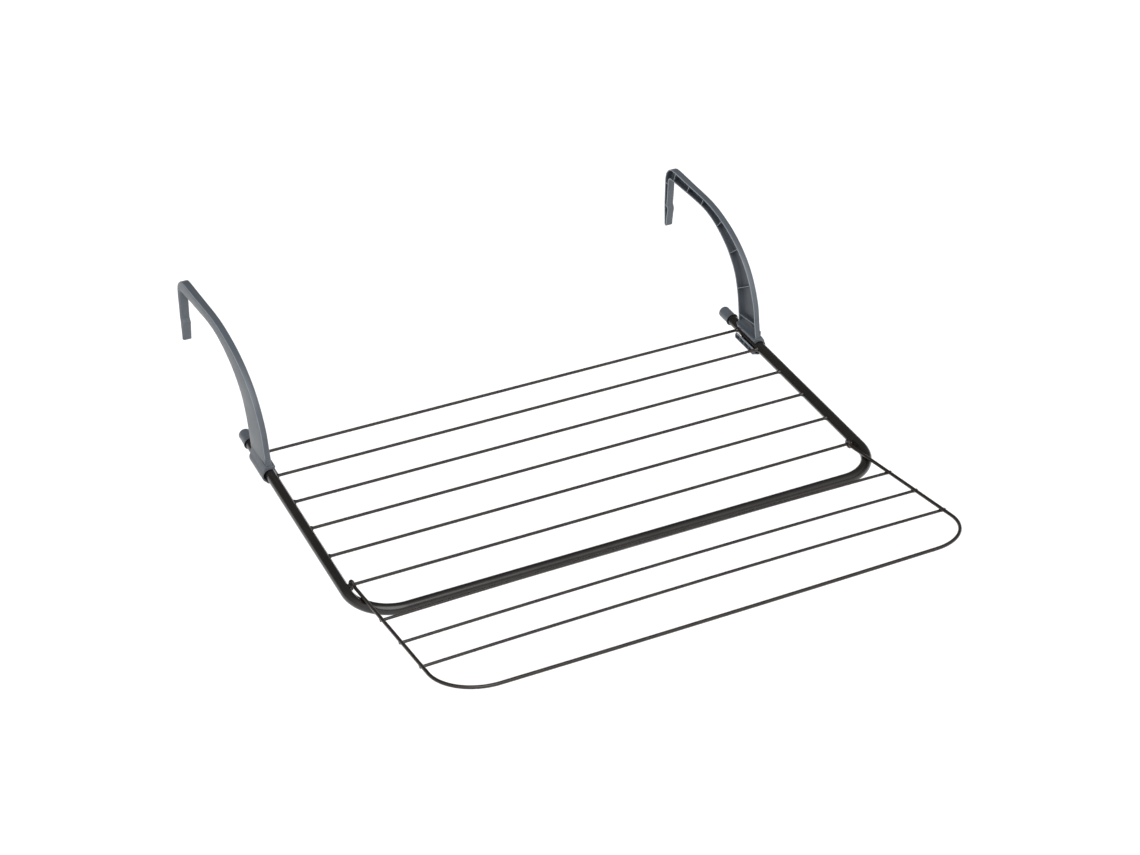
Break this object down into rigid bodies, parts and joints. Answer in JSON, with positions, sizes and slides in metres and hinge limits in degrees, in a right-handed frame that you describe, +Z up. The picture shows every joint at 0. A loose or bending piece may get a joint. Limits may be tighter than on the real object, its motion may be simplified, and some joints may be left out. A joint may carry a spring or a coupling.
{
  "type": "hanging folding drying rack",
  "caption": "Clothes-drying rack that hangs by two swivelling hook arms: bent tube frame with straight wires and a hinged wire wing at the front.",
  "frame": {"origin": "midway between the two end caps' flat back faces, on the plane of the tube's axis", "axes": "+X to the rack's right, +Y towards the wall or parapet it hangs on, +Z up"},
  "size_m": [0.6162, 0.7016, 0.1277],
  "materials": {
    "black_enamel": "glossy black enamel on steel",
    "grey_plastic": "satin moulded polypropylene, bluish grey"
  },
  "bodies": {
    "frame": {"main_tube": "black_enamel", "main_wire_1": "black_enamel", "main_wire_2": "black_enamel", "main_wire_3": "black_enamel", "main_wire_4": "black_enamel", "main_wire_5": "black_enamel", "main_wire_6": "black_enamel", "left_end_cap": "grey_plastic", "right_end_cap": "grey_plastic"},
    "wing": {"wing_frame": "black_enamel", "wing_crossbar_1": "black_enamel", "wing_crossbar_2": "black_enamel", "wing_crossbar_3": "black_enamel"},
    "left_arm": {"left_hook_arm": "grey_plastic"},
    "right_arm": {"right_hook_arm": "grey_plastic"}
  },
  "joints": [
    {"name": "wing_fold", "type": "hinge", "parent": "frame", "child": "wing", "pos_m": [0, -0.2945, 0], "axis": [-1, 0, 0], "range_deg": [0, 165]},
    {"name": "left_arm_fold", "type": "hinge", "parent": "frame", "child": "left_arm", "pos_m": [-0.294, -0.0661, 0], "axis": [0, -1, 0], "range_deg": [0, 90]},
    {"name": "right_arm_fold", "type": "hinge", "parent": "frame", "child": "right_arm", "pos_m": [0.294, -0.0661, 0], "axis": [0, 1, 0], "range_deg": [0, 90]}
  ]
}
